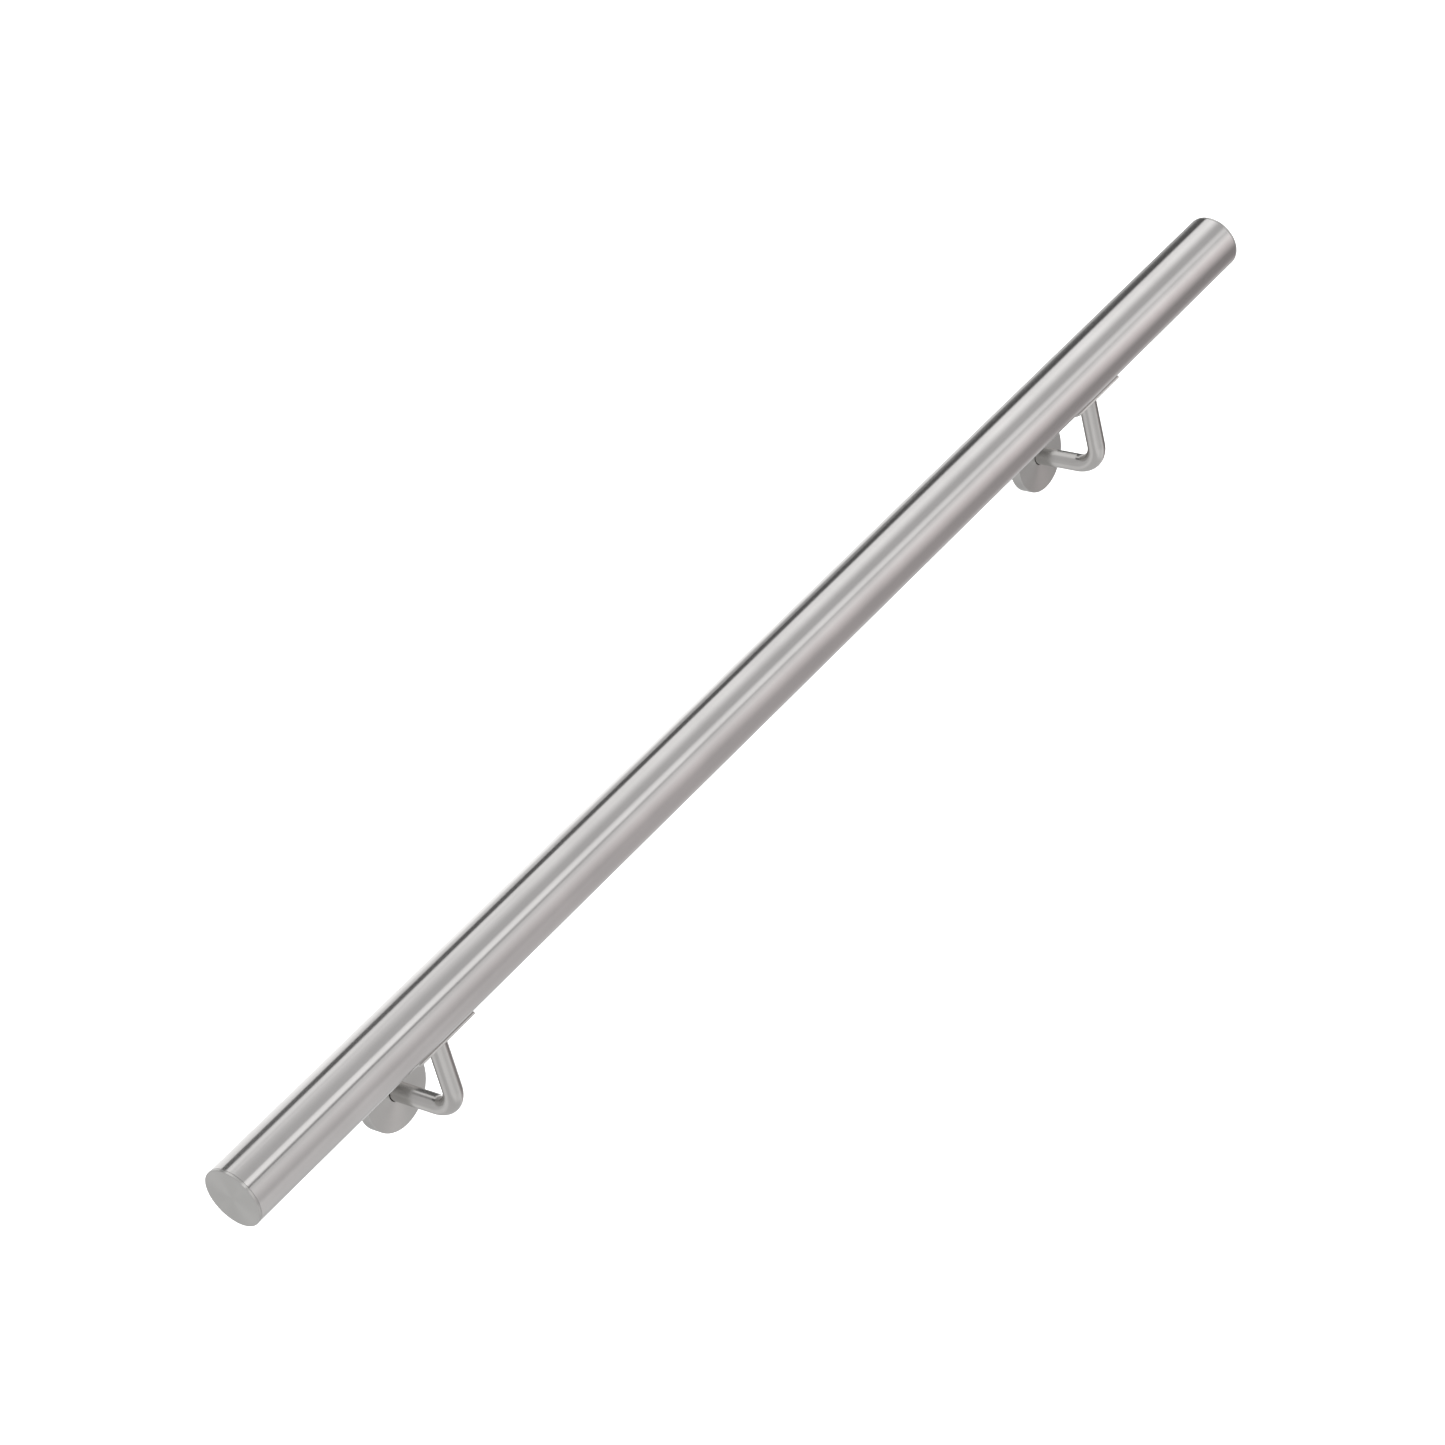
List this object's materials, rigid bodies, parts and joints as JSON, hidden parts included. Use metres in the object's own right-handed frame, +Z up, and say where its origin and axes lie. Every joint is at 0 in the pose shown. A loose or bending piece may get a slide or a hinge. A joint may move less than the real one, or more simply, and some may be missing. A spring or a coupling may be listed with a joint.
{
  "type": "wall-mounted grab rail",
  "caption": "Straight round stainless steel grab rail held off a wall by bent-bar brackets with curved saddles, flat end caps and round sliding covers over the wall plates.",
  "frame": {"origin": "on the wall's face, midway between the two brackets and level with the middle of their wall plates", "axes": "+X along the rail to the right as seen from the room, +Y into the wall, +Z up"},
  "size_m": [1.0216, 0.075, 0.1194],
  "materials": {
    "rail_steel": "satin polished, lines round the tube",
    "cap_steel": "turned satin",
    "bracket_steel": "satin polished",
    "rose_steel": "turned satin",
    "plate_steel": "dull, as cut and deburred",
    "fastener_steel": "plain stainless",
    "nut_steel": "zinc plated",
    "nylon": "moulded, matte",
    "rubber": "matte"
  },
  "bodies": {
    "rail_and_brackets": {"rail_tube": "rail_steel", "left_end_cap": "cap_steel", "left_cap_ring": "nylon", "left_arm": "bracket_steel", "left_saddle": "bracket_steel", "left_wall_plate": "plate_steel", "left_rubber_ring": "rubber", "left_outer_screw": "fastener_steel", "left_outer_rivet_nut": "nut_steel", "left_inner_screw": "fastener_steel", "left_inner_rivet_nut": "nut_steel", "right_end_cap": "cap_steel", "right_cap_ring": "nylon", "right_arm": "bracket_steel", "right_saddle": "bracket_steel", "right_wall_plate": "plate_steel", "right_rubber_ring": "rubber", "right_outer_screw": "fastener_steel", "right_outer_rivet_nut": "nut_steel", "right_inner_screw": "fastener_steel", "right_inner_rivet_nut": "nut_steel"},
    "left_rose": {"left_cover_rose": "rose_steel"},
    "right_rose": {"right_cover_rose": "rose_steel"}
  },
  "joints": [
    {"name": "left_rose_slide", "type": "slide", "parent": "rail_and_brackets", "child": "left_rose", "axis": [0, -1, 0], "range_m": [0, 0.03]},
    {"name": "right_rose_slide", "type": "slide", "parent": "rail_and_brackets", "child": "right_rose", "axis": [0, -1, 0], "range_m": [0, 0.03]}
  ]
}
